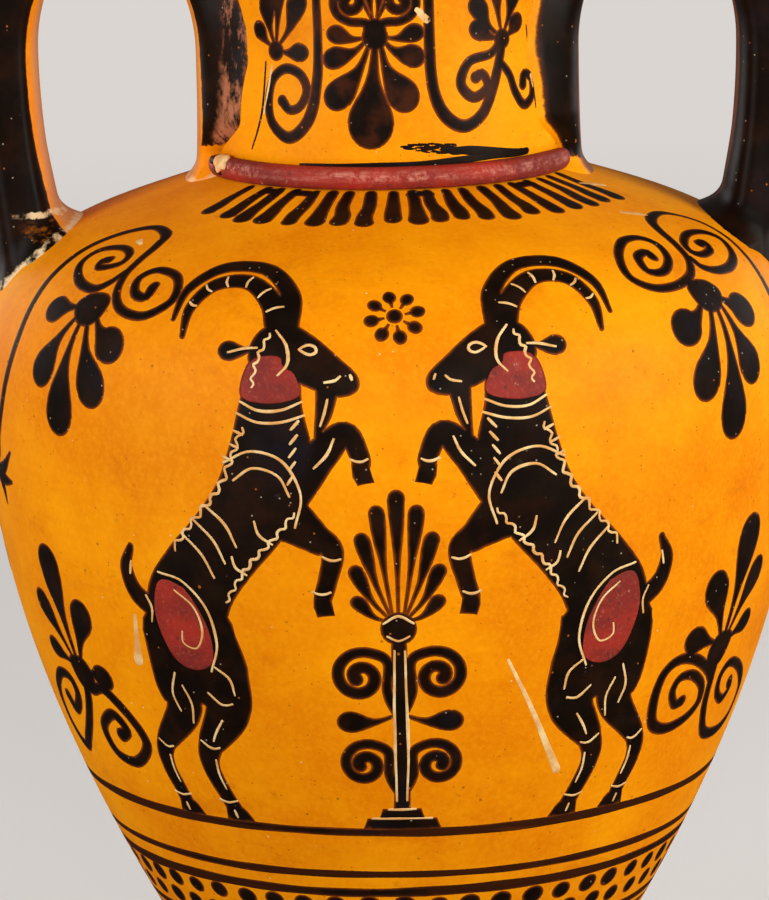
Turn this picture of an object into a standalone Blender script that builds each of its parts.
"""A small two-handled wine amphora, put together from thrown and pulled clay parts.

Metres, +Z up. The origin is in the middle of the foot's resting plane and the vase's
axis is +Z. The handles lie on the X axis, so the painted front looks along -Y.
"""

import math

import bmesh
import bpy
from mathutils import Matrix

# Fit of the luted joints
JOINT_GAP = 0.0003

# Foot: a turned disc with a rounded edge and a hollow underside
FOOT_OVERHANG = 0.0129
FOOT_HEIGHT = 0.0150
FOOT_EDGE_HEIGHT = 0.0110
FOOT_EDGE_DEPTH = 0.0035
FOOT_RING_WIDTH = 0.0090
FOOT_HOLLOW_DEPTH = 0.0060
FOOT_HOLLOW_SLOPE = 0.0060

# Fillet: the ring of clay around the joint of foot and body
FILLET_HEIGHT = 0.0040
FILLET_WIDTH = 0.0028

# Body: an egg-shaped wall between its stem and its upstand for the neck
STEM_RADIUS = 0.0280
BELLY_RADIUS = 0.0840
BELLY_RISE = 0.1520
BELLY_FULLNESS_BELOW = 0.0530
BELLY_FULLNESS_ABOVE = 0.0285
BASE_FULLNESS = 0.0515
BASE_ANGLE = math.radians(56)
SHOULDER_RISE = 0.0410
SHOULDER_FULLNESS = 0.0283
SHOULDER_ANGLE = math.radians(18.5)
WALL = 0.0050
FLOOR_THICKNESS = 0.0090

# Neck: stands on the body's upstand, with the raised collar around the joint
NECK_FOOT_RADIUS = 0.0350
UPSTAND_HEIGHT = 0.0025
NECK_HEIGHT = 0.0580
NECK_FOOT_HEIGHT = 0.0030
NECK_WAIST_RADIUS = 0.0335
NECK_TOP_RADIUS = 0.0365
COLLAR_HEIGHT = 0.0046
COLLAR_WIDTH = 0.0024

# Mouth: a turned lip that swells outward to a flat rim
MOUTH_RADIUS = 0.0490
MOUTH_HEIGHT = 0.0180
MOUTH_OVERHANG = 0.0020
MOUTH_SWELL = 0.0075
MOUTH_RIM_WIDTH = 0.0085
MOUTH_EDGE = 0.0030

# Handles: pulled straps bent into a D loop between the neck and the shoulder
HANDLE_WIDTH = 0.0240
HANDLE_THICKNESS = 0.0118
HANDLE_ROOT_INSET = 0.0116
HANDLE_STAND_OFF = 0.0050
HANDLE_ARCH_RISE = 0.0300
HANDLE_TOP_DROP = 0.0010
HANDLE_LEAN = 0.0040
HANDLE_ROOT_DEPTH = 0.0060
HANDLE_ROOT_RISE = 0.0120
HANDLE_ROOT_SWELL = 1.16
STRAP_EDGE_ROUNDING = 0.75
STRAP_FACE_ROUNDING = 0.55

# Fineness of the turned and swept shapes
TURN_STEPS = 48
CURVE_STEPS = 10
MOULDING_STEPS = 8
NECK_STEPS = 4
LIP_STEPS = 6
EDGE_STEPS = 3
LIMB_STEPS = 6
ARCH_STEPS = 14
STRAP_SIDES = 16
ROOT_SWELL_STEPS = 4

# Radii that follow from the joints
FOOT_SEAT_RADIUS = STEM_RADIUS + JOINT_GAP + FILLET_WIDTH
FOOT_RADIUS = FOOT_SEAT_RADIUS + FOOT_OVERHANG
MOUTH_SEAT_RADIUS = NECK_TOP_RADIUS + MOUTH_OVERHANG
COLLAR_BORE = NECK_FOOT_RADIUS + JOINT_GAP
COLLAR_RADIUS = COLLAR_BORE + COLLAR_WIDTH

# Levels along the axis
BODY_BASE = FOOT_HEIGHT + JOINT_GAP
STEM_TOP = BODY_BASE + JOINT_GAP + FILLET_HEIGHT
BELLY_LEVEL = BODY_BASE + BELLY_RISE
SHOULDER_TOP = BELLY_LEVEL + SHOULDER_RISE
BODY_TOP = SHOULDER_TOP + UPSTAND_HEIGHT
NECK_BASE = BODY_TOP + JOINT_GAP
NECK_TOP = NECK_BASE + NECK_HEIGHT
MOUTH_BASE = NECK_TOP + JOINT_GAP
MOUTH_TOP = MOUTH_BASE + MOUTH_HEIGHT
COLLAR_TOP = SHOULDER_TOP + JOINT_GAP + COLLAR_HEIGHT


def clear_scene():
    for thing in list(bpy.data.objects):
        bpy.data.objects.remove(thing, do_unlink=True)


def new_collection(name):
    collection = bpy.data.collections.new(name)
    bpy.context.scene.collection.children.link(collection)
    return collection


def material(name, colour, roughness):
    finish = bpy.data.materials.new(name)
    finish.use_nodes = True
    shader = finish.node_tree.nodes["Principled BSDF"]
    shader.inputs["Base Color"].default_value = (*colour, 1.0)
    shader.inputs["Roughness"].default_value = roughness
    shader.inputs["Metallic"].default_value = 0.0
    return finish


def curve_through(start, start_handle, end_handle, end, steps):
    """Points of one cubic Bezier curve, ends included."""
    points = []
    for step in range(steps + 1):
        t = step / steps
        weights = ((1 - t) ** 3, 3 * (1 - t) ** 2 * t, 3 * (1 - t) * t * t, t ** 3)
        knots = (start, start_handle, end_handle, end)
        points.append(tuple(sum(w * k[axis] for w, k in zip(weights, knots)) for axis in (0, 1)))
    return points


def arc(centre, radius_across, radius_up, start, end, steps):
    """Points of an elliptical arc, angles in degrees from +r towards +z."""
    points = []
    for step in range(steps + 1):
        angle = math.radians(start + (end - start) * step / steps)
        points.append((centre[0] + radius_across * math.cos(angle),
                       centre[1] + radius_up * math.sin(angle)))
    return points


def shoulder_curve(inset):
    """The wall from the upstand out to the belly, moved inward by inset."""
    top = (NECK_FOOT_RADIUS - inset, SHOULDER_TOP - inset)
    top_handle = (top[0] + SHOULDER_FULLNESS * math.cos(SHOULDER_ANGLE),
                  top[1] - SHOULDER_FULLNESS * math.sin(SHOULDER_ANGLE))
    belly = (BELLY_RADIUS - inset, BELLY_LEVEL)
    belly_handle = (belly[0], BELLY_LEVEL + BELLY_FULLNESS_ABOVE)
    return curve_through(top, top_handle, belly_handle, belly, CURVE_STEPS)


def belly_curve(inset, base):
    """The wall from the belly down to a base point, moved inward by inset."""
    belly = (BELLY_RADIUS - inset, BELLY_LEVEL)
    belly_handle = (belly[0], BELLY_LEVEL - BELLY_FULLNESS_BELOW)
    base_handle = (base[0] + BASE_FULLNESS * math.cos(BASE_ANGLE),
                   base[1] + BASE_FULLNESS * math.sin(BASE_ANGLE))
    return curve_through(belly, belly_handle, base_handle, base, CURVE_STEPS)


def height_on_shoulder(radius):
    """Level of the outer shoulder at a radius."""
    points = shoulder_curve(0.0)
    for inner, outer in zip(points, points[1:]):
        if inner[0] <= radius <= outer[0]:
            share = (radius - inner[0]) / (outer[0] - inner[0])
            return inner[1] + share * (outer[1] - inner[1])
    return BELLY_LEVEL


def turned(name, profile, finish, collection, closed):
    """A turned piece: a profile at +X swept once around the axis."""
    mesh = bpy.data.meshes.new(name)
    edges = [(i, i + 1) for i in range(len(profile) - 1)]
    if closed:
        edges.append((len(profile) - 1, 0))
    mesh.from_pydata([(radius, 0.0, level) for radius, level in profile], edges, [])
    mesh.materials.append(finish)
    piece = bpy.data.objects.new(name, mesh)
    collection.objects.link(piece)
    sweep = piece.modifiers.new("turn", "SCREW")
    sweep.axis = "Z"
    sweep.steps = TURN_STEPS
    sweep.render_steps = TURN_STEPS
    sweep.use_merge_vertices = True
    sweep.merge_threshold = 0.00002
    sweep.use_smooth_shade = True
    return piece


def make_foot(finish, collection):
    rest_outer = FOOT_RADIUS - FOOT_EDGE_DEPTH
    rest_inner = rest_outer - FOOT_RING_WIDTH
    middle = FOOT_EDGE_HEIGHT / 2
    profile = [(0.0, FOOT_HEIGHT), (FOOT_SEAT_RADIUS, FOOT_HEIGHT)]
    profile += arc((rest_outer, middle), FOOT_EDGE_DEPTH, middle, 90, -90, MOULDING_STEPS)
    profile += [(rest_inner, 0.0),
                (rest_inner - FOOT_HOLLOW_SLOPE, FOOT_HOLLOW_DEPTH),
                (0.0, FOOT_HOLLOW_DEPTH)]
    return turned("foot", profile, finish, collection, closed=False)


def make_fillet(finish, collection):
    inner = STEM_RADIUS + JOINT_GAP
    half = FILLET_HEIGHT / 2
    middle = FOOT_HEIGHT + JOINT_GAP + half
    profile = arc((inner, middle), FILLET_WIDTH, half, 90, -90, MOULDING_STEPS)
    return turned("foot_fillet", profile, finish, collection, closed=True)


def make_body(finish, collection):
    floor_level = BODY_BASE + FLOOR_THICKNESS
    floor_edge = (STEM_RADIUS - WALL, floor_level)
    upstand_inner = NECK_FOOT_RADIUS - WALL
    inner = [(0.0, floor_level)]
    inner += reversed(belly_curve(WALL, floor_edge))
    inner += list(reversed(shoulder_curve(WALL)))[1:]
    outer = [(NECK_FOOT_RADIUS, BODY_TOP)]
    outer += shoulder_curve(0.0)
    outer += belly_curve(0.0, (STEM_RADIUS, STEM_TOP))[1:]
    outer += [(STEM_RADIUS, BODY_BASE), (0.0, BODY_BASE)]
    profile = inner + [(upstand_inner, BODY_TOP)] + outer
    return turned("body", profile, finish, collection, closed=False)


def neck_curve():
    """The outer wall of the neck from its top, past the waist, down to its straight foot."""
    top = (NECK_TOP_RADIUS, NECK_TOP)
    foot = (NECK_FOOT_RADIUS, NECK_BASE + NECK_FOOT_HEIGHT)
    waist = (NECK_WAIST_RADIUS, (top[1] + foot[1]) / 2)
    reach = (top[1] - waist[1]) / 2
    upper = curve_through(top, (top[0], top[1] - reach), (waist[0], waist[1] + reach), waist, NECK_STEPS)
    lower = curve_through(waist, (waist[0], waist[1] - reach), (foot[0], foot[1] + reach), foot, NECK_STEPS)
    return upper + lower[1:]


def make_neck(finish, collection):
    outer = neck_curve() + [(NECK_FOOT_RADIUS, NECK_BASE)]
    inner = [(radius - WALL, level) for radius, level in reversed(outer)]
    return turned("neck", outer + inner, finish, collection, closed=True)


def make_collar(finish, collection):
    """A half-round ring that lies on the shoulder and hides the joint of neck and body."""
    middle = (height_on_shoulder(COLLAR_RADIUS) + JOINT_GAP + COLLAR_TOP) / 2
    round_face = arc((COLLAR_BORE, middle), COLLAR_WIDTH, COLLAR_TOP - middle, 90, -90, MOULDING_STEPS)
    profile = [point for point in round_face if point[1] > height_on_shoulder(point[0]) + 2 * JOINT_GAP]
    last_radius = profile[-1][0]
    for radius in (last_radius - JOINT_GAP, COLLAR_BORE):
        profile.append((radius, height_on_shoulder(radius) + JOINT_GAP))
    return turned("neck_collar", profile, finish, collection, closed=True)


def make_mouth(finish, collection):
    rim_inner = MOUTH_RADIUS - MOUTH_RIM_WIDTH
    bore = NECK_TOP_RADIUS - WALL
    edge_level = MOUTH_TOP - MOUTH_EDGE
    profile = [(rim_inner, MOUTH_TOP)]
    profile += arc((MOUTH_RADIUS - MOUTH_EDGE, edge_level), MOUTH_EDGE, MOUTH_EDGE, 90, 0, EDGE_STEPS)
    outside = curve_through((MOUTH_RADIUS, edge_level), (MOUTH_RADIUS, edge_level - MOUTH_SWELL),
                            (MOUTH_SEAT_RADIUS + MOUTH_SWELL, MOUTH_BASE), (MOUTH_SEAT_RADIUS, MOUTH_BASE),
                            LIP_STEPS)
    inside = curve_through((bore, MOUTH_BASE), (bore, MOUTH_BASE + MOUTH_SWELL),
                           (rim_inner, MOUTH_TOP - MOUTH_SWELL), (rim_inner, MOUTH_TOP), LIP_STEPS)
    profile += outside[1:] + inside[:-1]
    return turned("mouth", profile, finish, collection, closed=True)


def make_seat_cutter(collection):
    """The outside of body, collar and neck, grown by the joint gap, as one solid."""
    outline = [(0.0, NECK_TOP)]
    outline += [point for point in neck_curve() if point[1] > COLLAR_TOP]
    outline += [(NECK_FOOT_RADIUS, COLLAR_TOP), (COLLAR_RADIUS, COLLAR_TOP)]
    wall = shoulder_curve(0.0) + belly_curve(0.0, (STEM_RADIUS, STEM_TOP))[1:]
    outline += [point for point in wall if point[0] > COLLAR_RADIUS or point[1] < BELLY_LEVEL]
    grown = [(radius + JOINT_GAP if radius else 0.0, level + JOINT_GAP) for radius, level in outline]
    grown += [(0.0, STEM_TOP)]
    cutter = turned("handle_seat_cutter", grown, bpy.data.materials["clay"], collection, closed=False)
    cutter.hide_render = True
    cutter.display_type = "WIRE"
    return cutter


def handle_path():
    """Centre line of the right handle from the shoulder, over the arch, down the neck."""
    half = HANDLE_THICKNESS / 2
    neck_x = NECK_WAIST_RADIUS + HANDLE_STAND_OFF - half
    root_x = BELLY_RADIUS - HANDLE_ROOT_INSET
    outer_x = root_x + HANDLE_LEAN
    arch_top = NECK_TOP - HANDLE_TOP_DROP - half
    spring = arch_top - HANDLE_ARCH_RISE
    root_level = height_on_shoulder(root_x) - HANDLE_ROOT_DEPTH
    neck_end = (neck_x + NECK_FOOT_RADIUS - NECK_WAIST_RADIUS, COLLAR_TOP + JOINT_GAP)
    limb = curve_through((root_x, root_level), (root_x, root_level + HANDLE_ROOT_RISE),
                         (outer_x, (root_level + spring) / 2), (outer_x, spring), LIMB_STEPS)
    middle = ((neck_x + outer_x) / 2, spring)
    arch = arc(middle, (outer_x - neck_x) / 2, HANDLE_ARCH_RISE, 0, 180, ARCH_STEPS)
    return limb + arch[1:] + [(neck_x, (spring + neck_end[1]) / 2), neck_end]


def strap_section(collection):
    """Cross-section of the strap: flat faces with well rounded edges."""
    section = bpy.data.curves.new("strap_section", "CURVE")
    section.dimensions = "2D"
    outline = section.splines.new("POLY")
    outline.points.add(STRAP_SIDES - 1)
    for index in range(STRAP_SIDES):
        angle = 2 * math.pi * (index + 0.5) / STRAP_SIDES
        across = math.copysign(abs(math.cos(angle)) ** STRAP_EDGE_ROUNDING, math.cos(angle))
        through = math.copysign(abs(math.sin(angle)) ** STRAP_FACE_ROUNDING, math.sin(angle))
        outline.points[index].co = (across * HANDLE_WIDTH / 2, through * HANDLE_THICKNESS / 2, 0.0, 1.0)
    outline.use_cyclic_u = True
    guide = bpy.data.objects.new("strap_section", section)
    guide.hide_render = True
    guide.display_type = "WIRE"
    collection.objects.link(guide)
    return guide


def handle_mesh(finish, guides):
    """The swept strap, made a mesh and welded, before it is cut to its seats."""
    path = handle_path()
    route = bpy.data.curves.new("handle_route", "CURVE")
    route.dimensions = "3D"
    route.bevel_mode = "OBJECT"
    route.bevel_object = strap_section(guides)
    route.use_fill_caps = True
    spline = route.splines.new("POLY")
    spline.points.add(len(path) - 1)
    for index, (x, z) in enumerate(path):
        spline.points[index].co = (x, 0.0, z, 1.0)
        fade = max(0.0, 1.0 - index / ROOT_SWELL_STEPS)
        spline.points[index].radius = 1.0 + (HANDLE_ROOT_SWELL - 1.0) * fade
    swept = bpy.data.objects.new("handle_route", route)
    guides.objects.link(swept)
    depsgraph = bpy.context.evaluated_depsgraph_get()
    mesh = bpy.data.meshes.new_from_object(swept.evaluated_get(depsgraph))
    mesh.name = "handle"
    bpy.data.objects.remove(swept, do_unlink=True)
    welded = bmesh.new()
    welded.from_mesh(mesh)
    bmesh.ops.remove_doubles(welded, verts=welded.verts, dist=0.00002)
    bmesh.ops.recalc_face_normals(welded, faces=welded.faces)
    welded.to_mesh(mesh)
    welded.free()
    mesh.materials.clear()
    mesh.materials.append(finish)
    mesh.shade_smooth()
    return mesh


def make_handle(name, mesh, turn, cutter, collection):
    piece = bpy.data.objects.new(name, mesh)
    piece.matrix_world = Matrix.Rotation(turn, 4, "Z")
    collection.objects.link(piece)
    cut = piece.modifiers.new("seat", "BOOLEAN")
    cut.operation = "DIFFERENCE"
    cut.solver = "EXACT"
    cut.object = cutter
    return piece


def main():
    clear_scene()
    amphora = new_collection("amphora")
    guides = new_collection("amphora_guides")
    clay = material("clay", (0.82, 0.24, 0.02), 0.45)
    black_slip = material("black_slip", (0.012, 0.009, 0.008), 0.28)
    added_red = material("added_red", (0.44, 0.045, 0.018), 0.6)
    make_foot(black_slip, amphora)
    make_fillet(added_red, amphora)
    make_body(clay, amphora)
    make_collar(added_red, amphora)
    make_neck(clay, amphora)
    make_mouth(black_slip, amphora)
    cutter = make_seat_cutter(guides)
    mesh = handle_mesh(black_slip, guides)
    make_handle("handle_right", mesh, 0.0, cutter, amphora)
    make_handle("handle_left", mesh, math.pi, cutter, amphora)


main()
